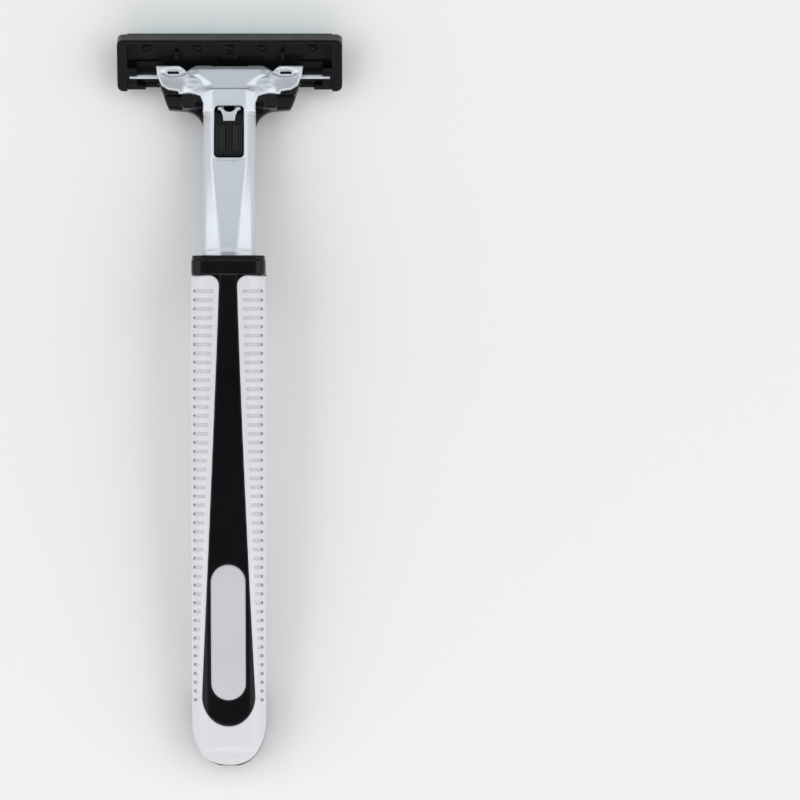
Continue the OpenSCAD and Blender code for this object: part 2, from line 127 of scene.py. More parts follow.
def bow_place(x, a, n):
    """Row coordinates on the bow: a is the arc length along it and n the height out of it."""
    return x, (BOW_R + n) * np.sin(a / BOW_R), BOW_Z + (BOW_R + n) * np.cos(a / BOW_R)


# ---------- fields ----------

def length(*parts):
    """Length of a vector with these parts."""
    return np.sqrt(sum(part * part for part in parts))


def meet(a, b, r=0.0):
    """Both, with the edge between them rounded."""
    if not r:
        return np.maximum(a, b)
    return np.minimum(np.maximum(a, b), -r) + length(np.maximum(a + r, 0), np.maximum(b + r, 0))


def join(a, b, r=0.0):
    """Either, with a fillet between them."""
    return -meet(-a, -b, r)


def cut(a, b, r=0.0):
    """The first without the second."""
    return meet(a, -b, r)


def span(t, low, high):
    """The slab from low to high."""
    return np.abs(t - (low + high) / 2) - (high - low) / 2


def rect(a, b, a0, a1, b0, b1, r=0.0):
    """Rectangle with rounded corners."""
    da = np.abs(a - (a0 + a1) / 2) - (a1 - a0) / 2 + r
    db = np.abs(b - (b0 + b1) / 2) - (b1 - b0) / 2 + r
    return np.minimum(np.maximum(da, db), 0) + length(np.maximum(da, 0), np.maximum(db, 0)) - r


def line(a, b, p, q):
    """Distance from the line from p to q, positive on its left."""
    da, db = q[0] - p[0], q[1] - p[1]
    return ((b - p[1]) * da - (a - p[0]) * db) / math.hypot(da, db)


def shape(a, b, points):
    """Signed distance to a polygon."""
    best, inside = None, None
    for (a0, b0), (a1, b1) in zip(points, points[1:] + points[:1]):
        da, db = a1 - a0, b1 - b0
        along = np.clip(((a - a0) * da + (b - b0) * db) / (da * da + db * db), 0, 1)
        near = (a - a0 - da * along) ** 2 + (b - b0 - db * along) ** 2
        best = near if best is None else np.minimum(best, near)
        crosses = ((b0 <= b) != (b1 <= b)) & (a < a0 + da * (b - b0) / (db if db else 1e-9))
        inside = crosses if inside is None else inside ^ crosses
    return np.where(inside, -1.0, 1.0) * np.sqrt(best)


def repeat(t, pitch, start):
    """Distance along a row of marks, from the nearest one."""
    return (t - start + pitch / 2) % pitch - pitch / 2


# ---------- meshing ----------

SETTLE_ROUNDS = 3
FLATTEST_SLOPE = 0.2
KEPT_SHARE = 0.4
NORMAL_WEIGHT = 60


def surface(field, low, high, cell):
    """Vertices and quads of the field's zero surface, with one vertex in each cell it crosses.

    The field has to be positive at every side of the grid, so that the surface closes.
    """
    axes = [np.arange(a, b + c, c) for a, b, c in zip(low, high, cell)]
    counts = [len(axis) for axis in axes]
    value = np.broadcast_to(field(*np.meshgrid(*axes, indexing="ij", sparse=True)), counts)
    cells = np.array(counts) - 1
    rings, points = [], []
    for axis in range(3):
        first, second = [slice(None)] * 3, [slice(None)] * 3
        first[axis], second[axis] = slice(0, -1), slice(1, None)
        a, b = value[tuple(first)], value[tuple(second)]
        edge = np.argwhere((a < 0) != (b < 0))
        va, vb = a[tuple(edge.T)], b[tuple(edge.T)]
        point = edge.astype(float)
        point[:, axis] += va / (va - vb)
        u, w = (axis + 1) % 3, (axis + 2) % 3
        ring = []
        for du, dw in ((-1, -1), (0, -1), (0, 0), (-1, 0)):
            at = edge.copy()
            at[:, u] += du
            at[:, w] += dw
            ring.append(np.ravel_multi_index(at.T, cells))
        ring = np.stack(ring, 1)
        ring[vb < 0] = ring[vb < 0][:, ::-1]
        rings.append(ring)
        points.append(point)
    ring, point = np.concatenate(rings), np.concatenate(points)
    _, index = np.unique(ring, return_inverse=True)
    index = index.reshape(-1)
    total = [np.bincount(index, np.repeat(point[:, k], 4)) for k in range(3)]
    vertices = np.stack(total, 1) / np.bincount(index)[:, None] * cell + low
    return settle(field, vertices, min(cell)), index.reshape(-1, 4)


def settle(field, vertices, cell):
    """Moves the vertices onto the surface in a few short steps down the field's slope."""
    h = cell * 0.2
    for _ in range(SETTLE_ROUNDS):
        value = field(*vertices.T)
        slope = np.stack([
            (field(*(vertices + step).T) - field(*(vertices - step).T)) / (2 * h)
            for step in np.eye(3) * h
        ], 1)
        size = np.maximum((slope ** 2).sum(1), FLATTEST_SLOPE)
        move = np.clip(value / size, -cell / 2, cell / 2)
        vertices = vertices - slope * move[:, None]
    return vertices


def mesh_object(name, vertices, quads):
    """A mesh object in the scene, from vertices in metres."""
    mesh = bpy.data.meshes.new(name)
    mesh.vertices.add(len(vertices))
    mesh.vertices.foreach_set("co", vertices.astype(np.float32).ravel())
    mesh.loops.add(quads.size)
    mesh.loops.foreach_set("vertex_index", quads.astype(np.int32).ravel())
    mesh.polygons.add(len(quads))
    mesh.polygons.foreach_set("loop_start", np.arange(0, quads.size, 4, dtype=np.int32))
    mesh.update(calc_edges=True)
    mesh.validate()
    thing = bpy.data.objects.new(name, mesh)
    bpy.context.scene.collection.objects.link(thing)
    return thing


def body_of_node(node):
    """The record's body that a CAD node belongs to."""
    bodies = frame["record"]["behaviour"]["bodies"]
    return next(body for body, nodes in bodies.items() if node in nodes)


def piece(name, node, slot, field, place, low, high, cell):
    """Meshes a field between two corners, thins the mesh, and stands it in for a CAD node."""
    vertices, quads = surface(field, np.array(low, float), np.array(high, float), np.array(cell))
    thing = mesh_object(name, np.stack(np.broadcast_arrays(*place(*vertices.T)), 1) * MM, quads)
    thin = thing.modifiers.new("thin", "DECIMATE")
    thin.ratio = KEPT_SHARE
    graph = bpy.context.evaluated_depsgraph_get()
    thinned = bpy.data.meshes.new_from_object(thing.evaluated_get(graph))
    thing.modifiers.clear()
    thing.data = thinned
    thing.data.name = name
    thing.data.shade_smooth()
    even = thing.modifiers.new("even_normals", "WEIGHTED_NORMAL")
    even.weight = NORMAL_WEIGHT
    thing.data.materials.append(materials[slot])
    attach(thing, body_of_node(node))
    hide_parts(node)


# ---------- materials ----------

class Nodes:
    """Short calls for building a node tree."""

    def __init__(self, name):
        self.material = bpy.data.materials.new(name)
        self.material.use_nodes = True
        self.tree = self.material.node_tree
        self.shader = self.tree.nodes["Principled BSDF"]

    def add(self, kind, **values):
        """A new node; each value sets one of its properties or else one of its inputs."""
        node = self.tree.nodes.new(kind)
        for key, value in values.items():
            if hasattr(node, key):
                setattr(node, key, value)
            else:
                node.inputs[key.replace("_", " ")].default_value = value
        return node

    def link(self, source, target):
        self.tree.links.new(source, target)

    def noise(self, scale, detail=3.0, stretch=(1, 1, 1)):
        """Noise over the object's own coordinates; the scale is in waves a metre."""
        coords = self.add("ShaderNodeTexCoord")
        mapping = self.add("ShaderNodeMapping")
        mapping.inputs["Scale"].default_value = stretch
        noise = self.add("ShaderNodeTexNoise", Scale=scale, Detail=detail)
        self.link(coords.outputs["Object"], mapping.inputs["Vector"])
        self.link(mapping.outputs["Vector"], noise.inputs["Vector"])
        return noise.outputs["Fac"]

    def ramp(self, source, low, high, inside=(0.3, 0.7)):
        """Maps a factor to the range from low to high."""
        node = self.add("ShaderNodeMapRange")
        for key, value in zip(("From Min", "From Max", "To Min", "To Max"), (*inside, low, high)):
            node.inputs[key].default_value = value
        self.link(source, node.inputs["Value"])
        return node.outputs["Result"]

    def mix(self, factor, first, second):
        """Mixes two colours, each given as a tuple or as another node's output."""
        node = self.add("ShaderNodeMix", data_type="RGBA")
        self.link(factor, node.inputs["Factor"])
        for socket, value in zip((node.inputs[6], node.inputs[7]), (first, second)):
            if isinstance(value, tuple):
                socket.default_value = (*value, 1)
            else:
                self.link(value, socket)
        return node.outputs[2]


def shade(colour, factor):
    """The colour made darker or lighter by a factor."""
    return tuple(min(1.0, value * factor) for value in colour)


BLOTCH_SCALE, SMEAR_SCALE = 90, 350
BUMP_DEPTH = 0.0002
# Edges lighter than the rest of the surface: partly wear, partly a painted highlight on sharp edges and peg heads.
EDGE_WEAR_AND_HIGHLIGHT_SHADE = 1.5
EDGE_WEAR_AND_HIGHLIGHT_POINTINESS = (0.52, 0.62)


def finish(slot, colour, roughness, vary=0.06, rough_vary=0.05, grain=(4000, 0.02),
           stretch=(1, 1, 1), edge_wear_and_highlight=0.0, **settings):
    """A moulded or metal surface: slow colour change, uneven gloss, fine grain, and edges lightened by pointiness,
    partly for wear and partly as a painted highlight.
    """
    nodes = Nodes(slot)
    slow = nodes.noise(BLOTCH_SCALE, 4)
    tone = nodes.mix(nodes.ramp(slow, 0, 1), shade(colour, 1 - vary), shade(colour, 1 + vary))
    if edge_wear_and_highlight:
        # Painted highlight and wear: the colour is lightened where the mesh is pointy.
        edge = nodes.add("ShaderNodeNewGeometry").outputs["Pointiness"]
        tone = nodes.mix(nodes.ramp(edge, 0, edge_wear_and_highlight, EDGE_WEAR_AND_HIGHLIGHT_POINTINESS), tone, shade(colour, EDGE_WEAR_AND_HIGHLIGHT_SHADE))
    nodes.link(tone, nodes.shader.inputs["Base Color"])
    smear = nodes.ramp(nodes.noise(SMEAR_SCALE, 5), roughness - rough_vary, roughness + rough_vary)
    nodes.link(smear, nodes.shader.inputs["Roughness"])
    bump = nodes.add("ShaderNodeBump", Strength=grain[1], Distance=BUMP_DEPTH)
    nodes.link(nodes.noise(grain[0], 2, stretch), bump.inputs["Height"])
    nodes.link(bump.outputs["Normal"], nodes.shader.inputs["Normal"])
    for key, value in settings.items():
        nodes.shader.inputs[key.replace("_", " ")].default_value = value
    return nodes.material


materials = {
    # Its lightened edges are faint wear and a faint painted highlight.
    "black_plastic": finish(
        "black_plastic", (0.004, 0.004, 0.005), 0.21, vary=0.2, grain=(2600, 0.02), edge_wear_and_highlight=0.12,
        Specular_IOR_Level=0.22),
    "pearl_shell": finish(
        "pearl_shell", (0.74, 0.74, 0.77), 0.34, vary=0.02, grain=(3500, 0.02),
        Coat_Weight=0.3, Coat_Roughness=0.2),
    "grip_plastic": finish(
        "grip_plastic", (0.66, 0.66, 0.69), 0.46, vary=0.02, grain=(3000, 0.06)),
    "soft_pad": finish(
        "soft_pad", (0.60, 0.60, 0.64), 0.55, vary=0.03, grain=(5000, 0.12),
        Sheen_Weight=0.2, Sheen_Roughness=0.4),
    "satin_silver": finish(
        "satin_silver", (0.67, 0.71, 0.75), 0.40, vary=0.015, rough_vary=0.03, grain=(7000, 0.008),
        Metallic=0.7),
    "steel": finish(
        "steel", (0.80, 0.81, 0.83), 0.20, vary=0.04, grain=(3000, 0.10),
        stretch=(0.05, 1, 1), Metallic=1.0),
    # Its lightened edges are mostly a painted highlight, for the bright dots on the pegs' heads, and partly wear.
    "cartridge_plastic": finish(
        "cartridge_plastic", (0.005, 0.005, 0.006), 0.33, vary=0.25, grain=(3500, 0.04),
        edge_wear_and_highlight=0.5, Specular_IOR_Level=0.15),
    "strip": finish(
        "strip", (0.045, 0.57, 0.48), 0.42, vary=0.08, grain=(1800, 0.15),
        Subsurface_Weight=0.15, Subsurface_Radius=(0.001, 0.002, 0.0015)),
}


# ---------- handle ----------

SKIN_R = 3.4
SEAM_N = -0.9
CROWN = 0.0018
TAIL_START = TIP_Y + 9.6
TAIL_POWER = 2.3
TIP_Z = 3.6
TAIL_TOP_Z = 11.2
SHELL_SET_BACK = 0.45
COLLAR_Y0, COLLAR_Y1 = 23.1, 26.65
CORE_HALF, CORE_HALF_T, CORE_R = 5.95, 4.45, 2.5
CORE_TAIL_IN = 0.7
GAP = 0.04

# The ribs' pitch, where their rows start and end, and the grooves, slots and notches between.
PITCH = 1.65
RIB_Y0, RIB_Y1 = TAIL_Y + 5.9, 20.6
REAR_RIB_Y0, REAR_RIB_Y1 = TAIL_Y + 14.0, 19.6
REAR_ARCH = 0.012
GROOVE_HALF, GROOVE_DEPTH, GROOVE_END_X = 0.27, 0.45, 5.66
REAR_GROOVE_HALF, REAR_GROOVE_DEPTH = 0.33, 0.42
SLOT_X, SLOT_HALF_X, SLOT_HALF_Y, SLOT_DEPTH = 6.05, 0.3, 0.26, 0.42
NOTCH_HALF, NOTCH_LOW_N, NOTCH_X = 0.36, -4.0, 5.0

# The long black inlay, and the thumb pad in its wide end.
INLAY_TOP_Y, INLAY_LOW_Y = 22.0, TAIL_Y + 6.6
INLAY_TOP, INLAY_LOW = 1.65, 4.9
INLAY_END = 5.6
INLAY_POWER = 1.15
INLAY_SINK, TOOTH_SINK = 0.13, 0.22
PAD_HALF = 3.3
PAD_Y0, PAD_Y1 = TAIL_Y + 5.8, TAIL_Y + 31.2
PAD_TOP_N = 5.66
PAD_CROWN_X, PAD_CROWN_Y = 0.014, 0.00045
BED_DEPTH = 0.55

# The rear grip's arched top edge and its round lower end.
GRIP_HALF, GRIP_TOP_Y, GRIP_ARCH, GRIP_TOP_R = 6.95, 20.9, 0.035, 2.4
CRESCENT_Y, CRESCENT_HALF, CRESCENT_LEN, CRESCENT_R = -50.5, 7.05, 7.3, 7.0


def bow_yz(a, n):
    """Row coordinates y and z of a point on the bow."""
    return bow_place(0, a, n)[1:]


def arc(y):
    """Arc length along the bow at a height y."""
    return BOW_R * math.asin(y / BOW_R)


def handle_section(x, n):
    """The handle's cross-section, with slightly crowned faces."""
    flat = n * (1 + CROWN * x * x)
    return rect(x, flat, -HALF_W, HALF_W, -HALF_T, HALF_T, SKIN_R)


def handle_tail(x, y, z, set_back=0.0):
    """Round tail seen from above and from the side."""
    reach = np.minimum(y - TAIL_START, 0) / (TIP_Y + set_back - TAIL_START)
    wide = np.abs(x) / HALF_W
    plan = ((wide ** TAIL_POWER + reach ** TAIL_POWER) ** (1 / TAIL_POWER) - 1) * HALF_W
    half = np.where(z < TIP_Z, TIP_Z, TAIL_TOP_Z - TIP_Z)
    reach = np.minimum(y - TAIL_Y, 0) / (TIP_Y - TAIL_Y)
    side = (length(reach, (z - TIP_Z) / half) - 1) * half
    return meet(plan, np.where(y < TAIL_Y, side, -z))


def inlay(x, y):
    """Plan of the black inlay, which widens towards the thumb pad."""
    t = np.clip((INLAY_TOP_Y - y) / (INLAY_TOP_Y - INLAY_LOW_Y), 0, 1)
    half = INLAY_TOP + (INLAY_LOW - INLAY_TOP) * t ** INLAY_POWER
    return length(x, np.minimum(y - INLAY_LOW_Y, 0) * INLAY_LOW / INLAY_END) - half


def crescent(x, y):
    """Plan of the rear grip's round lower end."""
    below = np.minimum(y - CRESCENT_Y, 0)
    return (length(x / CRESCENT_HALF, below / CRESCENT_LEN) - 1) * CRESCENT_R


def grip_plan(x, y):
    """Plan of the rear grip, under its arched top edge."""
    top = y - GRIP_TOP_Y + GRIP_ARCH * x * x
    return meet(meet(np.abs(x) - GRIP_HALF, top, GRIP_TOP_R), crescent(x, y))


def pad_plan(x, y):
    """Plan of the thumb pad, with round ends."""
    return rect(x, y, -PAD_HALF, PAD_HALF, PAD_Y0, PAD_Y1, PAD_HALF - 0.01)


def core_section(x, n):
    """Cross-section of the core inside the shells."""
    return rect(x, n, -CORE_HALF, CORE_HALF, -CORE_HALF_T, CORE_HALF_T, CORE_R)


def rear_arch(x, y):
    """Where an arched rear rib through this point crosses the middle."""
    return y + REAR_ARCH * x * x


def notch(x, y, n, grow=0.0):
    """Gaps between the rear ribs' ends, along both sides of the handle."""
    mark = repeat(rear_arch(x, y), PITCH, REAR_RIB_Y0)
    low = NOTCH_LOW_N - grow
    hole = rect(mark, n, -NOTCH_HALF - grow, NOTCH_HALF + grow, low, SEAM_N + 1, 0.15)
    rows = span(y, REAR_RIB_Y0 - 0.6, REAR_RIB_Y1 - 2.6)
    return meet(meet(hole, NOTCH_X - np.abs(x)), rows)


def front_shell(x, a, n):
    """Pearl shell, cut out round the inlay, with ribs that end in a small slot at each side."""
    y, z = bow_yz(a, n)
    wide = np.abs(x)
    skin = handle_section(x, n)
    body = meet(meet(skin, handle_tail(x, y, z, SHELL_SET_BACK)), SEAM_N + GAP - n, 0.12)
    window = inlay(x, y)
    body = meet(body, meet(-window, y - COLLAR_Y0 + GAP, 1.9), 0.3)
    mark = repeat(y, PITCH, RIB_Y0)
    rows = span(y, RIB_Y0 - 0.5, RIB_Y1)
    across = meet(span(wide, 0, GROOVE_END_X), 1.0 - window)
    groove = meet(np.abs(mark) - GROOVE_HALF, -skin - GROOVE_DEPTH, 0.12)
    body = cut(body, meet(groove, meet(rows, across)), 0.1)
    slot = rect(
        wide, mark, SLOT_X - SLOT_HALF_X, SLOT_X + SLOT_HALF_X, -SLOT_HALF_Y, SLOT_HALF_Y, 0.1)
    slot = meet(meet(slot, meet(rows, 1.2 - n)), -skin - SLOT_DEPTH)
    body = cut(body, slot, 0.06)
    return cut(body, meet(core_section(x, n), handle_tail(x, y, z) + CORE_TAIL_IN) - GAP)


def rear_grip(x, a, n):
    """Ribbed back panel; its ribs' ends stand apart along the handle's sides."""
    y, _ = bow_yz(a, n)
    skin = handle_section(x, n)
    body = meet(skin, n - SEAM_N + GAP, 0.1)
    body = meet(body, grip_plan(x, y), 0.35)
    mark = repeat(rear_arch(x, y), PITCH, REAR_RIB_Y0)
    rows = span(y, REAR_RIB_Y0 - 0.5, REAR_RIB_Y1)
    groove = meet(np.abs(mark) - REAR_GROOVE_HALF, -skin - REAR_GROOVE_DEPTH, 0.15)
    body = cut(body, meet(groove, rows), 0.18)
    body = cut(body, notch(x, y, n, 0.03), 0.08)
    return cut(body, core_section(x, n) - GAP)


WEIGHT_R, WEIGHT_HALF = 2.3, 22.1
weight_low, weight_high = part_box("handle_weight")


def weight_bore(x, y, z):
    """Bore for the steel weight, along the diagonal of its box."""
    slope = math.atan2(weight_high.z - weight_low.z - 2 * WEIGHT_R * MM, weight_high.y - weight_low.y)
    middle_y = (weight_low.y + weight_high.y) / 2 / MM
    middle_z = (weight_low.z + weight_high.z) / 2 / MM
    dy, dz = y - middle_y, z - middle_z
    along = dy * math.cos(slope) + dz * math.sin(slope)
    up = dz * math.cos(slope) - dy * math.sin(slope)
    return meet(length(x, up) - WEIGHT_R, np.abs(along) - WEIGHT_HALF)


# The collar's rim, with a crowned front, and the sockets for the neck's tang and cover.
RIM_CROWN = 0.011
RIM_LOW_N, RIM_HIGH_N, RIM_R = -5.35, 5.62, 1.9
LIP_STEP, LIP_RISE = 0.14, 0.12
TANG_LEN, TANG_HALF, TANG_N0, TANG_N1 = 11.1, 3.4, -2.3, 1.9
RECESS_HALF, RECESS_N0, RECESS_N1, RECESS_S = 5.0, -3.9, 3.1, -1.4


def collar(x, y, n):
    """Collar with a thin lip inside its front edge and chamfered rear corners."""
    crowned = n + np.where(n > 0, RIM_CROWN * x * x, 0)
    rim = rect(x, crowned, -HALF_W + 0.03, HALF_W - 0.03, RIM_LOW_N, RIM_HIGH_N, RIM_R)
    body = meet(rim, span(y, COLLAR_Y0 + 0.02, COLLAR_Y1), 0.45)
    lip = meet(rim + LIP_STEP, span(y, COLLAR_Y0, COLLAR_Y1 + LIP_RISE), 0.2)
    body = join(meet(body, y - COLLAR_Y1 + 0.6, 0.25), lip, 0.06)
    chamfer = (np.abs(x) + y - HALF_W - COLLAR_Y1 + 1.5) / math.sqrt(2)
    return cut(body, meet(-chamfer, n + 1.2, 0.3), 0.25)


def handle_core(x, a, n):
    """Black moulding: the core, the rear of the tail, the inlay, the notches' floor, the collar."""
    y, z = bow_yz(a, n)
    s, m = neck.find(y, z)
    skin = handle_section(x, n)
    tail = handle_tail(x, y, z)
    below = y - COLLAR_Y0 - 0.5
    core = meet(meet(core_section(x, n), tail + CORE_TAIL_IN), below)
    rear = cut(meet(meet(skin, tail), n - SEAM_N, 0.1), grip_plan(x, y) - GAP, 0.25)
    rear = meet(rear, below)
    ribbon = meet(meet(skin + INLAY_SINK, inlay(x, y) + 0.02), -n)
    ribbon = meet(meet(ribbon, tail + CORE_TAIL_IN), below)
    teeth = meet(skin + TOOTH_SINK, notch(x, y, n, -0.02))
    body = join(join(core, rear, 0.1), join(ribbon, teeth))
    body = join(body, collar(x, y, n), 0.08)
    bed = meet(pad_plan(x, y) - GAP, -skin - BED_DEPTH)
    body = cut(body, bed, 0.05)
    tang = meet(rect(x, m, -TANG_HALF, TANG_HALF, TANG_N0, TANG_N1, 0.1), span(s, -TANG_LEN, 2))
    recess = rect(x, m, -RECESS_HALF, RECESS_HALF, RECESS_N0, RECESS_N1, 0.3)
    recess = meet(recess, span(s, RECESS_S, 3))
    return cut(cut(cut(body, tang), recess, 0.1), weight_bore(x, y, z))


def thumb_pad(x, a, n):
    """Soft pad with a low rim round a slightly domed middle."""
    y, _ = bow_yz(a, n)
    plan = pad_plan(x, y)
    middle = (PAD_Y0 + PAD_Y1) / 2
    top = n - PAD_TOP_N + PAD_CROWN_X * x * x + PAD_CROWN_Y * (y - middle) ** 2
    body = meet(plan + GAP, top, 0.55)
    inner = meet(plan + 1.0, top - 0.06, 0.3)
    return meet(join(body, inner, 0.25), 5.0 - n)


# ---------- neck ----------

COVER_HALF = 4.9
COVER_TOP = 3.0
COVER_SKIRT, COVER_SKIN = -1.6, 0.75
BEVEL_X, BEVEL_N = 4.4, 1.7
FACET_LOW, FACET_GAIN, FACET_S0, FACET_LEN = 1.6, 1.7, 0.4, 17.1
CREASE_S = 30.9
WINDOW_HALF, WINDOW_S0, WINDOW_S1 = 2.75, 18.2, 28.1
SPLIT_N = 0.3
BARREL_ROOM_R = 1.56
CLEARANCE_TILT = math.radians(14)

# The wing's oval dish and the slit in it.
OVAL_X, OVAL_S, OVAL_HALF_X, OVAL_HALF_S = 10.4, 34.75, 2.3, 0.95
DISH_DEPTH, SLIT_DEPTH = 0.4, 0.5
SLIT = (9.4, 11.6, 34.5, 34.98)

# Outline of the cover's head on the +X side, from the middle round its wing and back.
HEAD_PLAN = [
    (-9, 36.2), (6.3, 36.2), (7.1, 35.75), (8.0, 35.05), (9.3, 36.05), (13.75, 36.05), (13.5, 34.1),
    (12.7, 32.4), (11.5, 31.6), (9.6, 31.3), (9.45, 30.8), (7.2, 30.75), (5.4, 30.1), (4.9, 28.8),
    (4.9, 27), (-9, 27)
]


def facet_half(s):
    """Half width of the flat face, which narrows towards the collar."""
    return FACET_LOW + FACET_GAIN * np.clip((s - FACET_S0) / FACET_LEN, 0, 1)


def cover_stem(x, s, n):
    """The stem's outside: a flat face, two wide bevels and nearly upright sides."""
    wide = np.abs(x)
    run, drop = BEVEL_X - facet_half(s), COVER_TOP - BEVEL_N
    bevel = ((wide - BEVEL_X) * drop + (n - BEVEL_N) * run) / length(run, drop)
    steep = line(wide, n, (BEVEL_X, BEVEL_N), (COVER_HALF, 0.2))
    body = meet(meet(n - COVER_TOP, bevel, 0.2), steep, 0.3)
    return meet(body, wide - COVER_HALF, 0.2)


def face_half(s):
    """Half width of the head's middle face, which opens out towards the cartridge."""
    return 3.1 + 2.6 * np.clip((s - 32.0) / 2.2, 0, 1) ** 1.3


def head_top(x, s):
    """Height of the cover's head: a sloping middle face, flanks and dished wings."""
    wide = np.abs(x)
    middle = 2.95 - 0.27 * np.maximum(s - CREASE_S, 0) - 0.5 * np.maximum(s - 35.3, 0)
    out = wide - face_half(s)
    flank = middle - 0.38 * np.clip(out, 0, 1.6) - 0.15 * np.maximum(out - 1.6, 0)
    flank = np.maximum(flank, 1.95 - 0.5 * np.maximum(s - 33.5, 0))
    wing = 1.75 - 0.06 * (s - 34.6) ** 2
    blend = 1 / (1 + np.exp(-(wide - 7.9) / 0.4))
    dimple = 0.2 * np.exp(-(((wide - 7.4) / 1.3) ** 2 + ((s - 32.3) / 0.45) ** 2))
    oval = length((wide - OVAL_X) / OVAL_HALF_X, (s - OVAL_S) / OVAL_HALF_S)
    dish = DISH_DEPTH * np.clip((1.1 - oval) / 0.35, 0, 1)
    return flank * (1 - blend) + wing * blend - dimple - dish


def cover_rooms(x, s, n):
    """Space under the cover for the fork's bar, the fork's head and the lever's spring."""
    bar_room = meet(rect(x, s, -6.45, 6.45, 28.5, 33.4, 0.2), n - 1.52)
    fork_room = meet(rect(x, s, -2.45, 2.45, 27.9, 31.0, 0.2), n - 2.5)
    spring_room = meet(rect(x, s, -3.35, 3.35, 30.5, 37, 0.1), n - 1.2)
    return join(join(bar_room, fork_room), spring_room)


def neck_cover(x, s, n):
    """Silver cover: stem, head and wings in one skin, with the button's window."""
    wide = np.abs(x)
    bead = 0.1 * np.exp(-((s - 0.3) / 0.5) ** 2)
    stem = meet(cover_stem(x, s, n) - bead, COVER_SKIRT - n)
    stem = meet(stem, span(s, -1.2, CREASE_S + 0.3))
    top = head_top(x, s)
    head = meet(shape(wide, s, HEAD_PLAN), (n - top) * 0.96, 0.32)
    body = join(stem, meet(head, SPLIT_N + 0.04 - n, 0.08), 0.3)
    body = cut(body, meet(cover_stem(x, s, n) + COVER_SKIN, s - 28.7), 0.05)
    rim = rect(x, s, -WINDOW_HALF, WINDOW_HALF, WINDOW_S0, WINDOW_S1, 0.8)
    frame_bead = meet(span(rim, 0.0, 0.38), n - COVER_TOP - 0.14, 0.12)
    body = join(body, meet(frame_bead, 2.5 - n), 0.08)
    body = cut(body, meet(rim, 1.0 - n), 0.12)
    rel_s, rel_n = s - PIVOT_S, n - PIVOT_N
    body = cut(body, length(rel_s, rel_n) - BARREL_ROOM_R, 0.05)
    tilted = rel_n * math.cos(CLEARANCE_TILT) - rel_s * math.sin(CLEARANCE_TILT)
    body = cut(body, meet(tilted, -rel_s), 0.05)
    body = cut(body, cover_rooms(x, s, n))
    return cut(body, meet(rect(wide, s, *SLIT, 0.23), top - SLIT_DEPTH - n), 0.05)


BASE_BOTTOM = -3.0
SHANK_HALF = 4.8
HEAD_S0, FLANGE_S1 = 23.5, 24.5
LEVER_HALF = 3.3
SEAT_X = 4.4
REAR_SLOT = (4.7, 9.4, 31.25, 31.95)

# Outline of the black head's ear on the +X side.
EAR_PLAN = [(-9, 33.6), (13.3, 33.6), (11.75, 29.2), (11.3, 28.35), (-9, 26.9)]


def base_outside(x, s, n):
    """The base's outside: head with ears, flange, tongue, tang, shoulders and pivot barrel."""
    wide = np.abs(x)
    shank = meet(wide - SHANK_HALF, span(s, 9.0, 33), 0.6)
    plate = join(shape(wide, s, EAR_PLAN), shank, 3.7)
    ledge = -1.15 + 1.45 * np.clip((s - 30.6) / 0.25, 0, 1)
    head = meet(meet(plate, meet(BASE_BOTTOM - n, n - ledge), 0.35), HEAD_S0 - s)
    inside = meet(meet(wide - 3.95, span(s, -1.2, 33.4)), span(n, -2.0, 0.58), 0.2)
    flange = meet(meet(shank, span(n, BASE_BOTTOM, -1.72), 0.3), s - FLANGE_S1)
    flare = 2.75 + 0.13 * np.maximum(8 - s, 0)
    tongue = meet(meet(wide - flare, span(s, -1.3, 11)), span(n, -2.7 - 0.11 * (9 - s), 0.2), 0.6)
    tang = meet(rect(wide, n, -3.3, 3.3, -2.2, 1.3, 0.3), span(s, -11, 0.5), 0.3)
    slope = n - 1.7 + 0.5 * np.maximum(28.9 - s, 0)
    shoulder = meet(rect(wide, s, 3.9, 6.75, 27.9, 31.2, 0.5), slope, 0.3)
    roof = meet(rect(wide, s, 3.9, 8.9, 28.1, 31.2, 0.5), n - 0.72 - 0.1 * (31.2 - s), 0.25)
    shoulder = meet(join(shoulder, roof, 0.25), -1.5 - n)
    barrel = meet(length(s - PIVOT_S, n - PIVOT_N) - 1.5, wide - 13.4, 0.2)
    body = join(join(head, inside, 0.1), join(flange, tongue, 0.8), 0.3)
    return join(join(body, tang), join(shoulder, barrel), 0.15)


def base_inside(x, s, n):
    """Room in the base for the arms, the fork's bar, the pins and the return lever."""
    wide = np.abs(x)
    rel_s, rel_n = s - PIVOT_S, n - PIVOT_N
    axle = length(rel_s, rel_n)
    tab_room = meet(rect(wide, s, LEVER_HALF, 8.5, 28.6, 33.5), span(n, -1.0, 0.34))
    root_room = meet(rect(wide, s, 4.5, 8.5, 32.5, PIVOT_S + 1), span(n, -1.0, 0.5))
    bar_room = meet(rect(wide, s, -1, 6.42, 29.1, 34), span(n, 0, 1.48))
    arm_bore = meet(axle - 0.86, SEAT_X - wide)
    pin_bore = meet(axle - 0.62, wide - SEAT_X)
    sweep = meet(axle - 1.5, wide - LEVER_HALF)
    under = meet(meet(axle - 2.4, wide - LEVER_HALF), meet(rel_n - 0.3, -rel_s - 1.0))
    return np.minimum.reduce([tab_room, root_room, bar_room, arm_bore, pin_bore, sweep, under])


def neck_base(x, s, n):
    """Black base under the cover, with the arms' slots, a relief and the button spring's bore."""
    scoop = length(x / 1.9, (s - 10.3) / 2.6, (n + 4.05) / 1.3) - 1
    body = cut(base_outside(x, s, n), scoop, 0.6)
    body = cut(body, base_inside(x, s, n))
    body = cut(body, meet(rect(np.abs(x), s, *REAR_SLOT, 0.2), n + 0.9), 0.06)
    relief = meet((s - 33.2) * -0.62 - (n - BASE_BOTTOM + 0.4) * -0.79, n)
    body = cut(body, meet(-relief, 33.2 - s), 0.1)
    spring_bore = meet(length(x, n - 1.05) - 1.45, span(s, 10.2, 21.4))
    return cut(body, spring_bore)


# ---------- release ----------

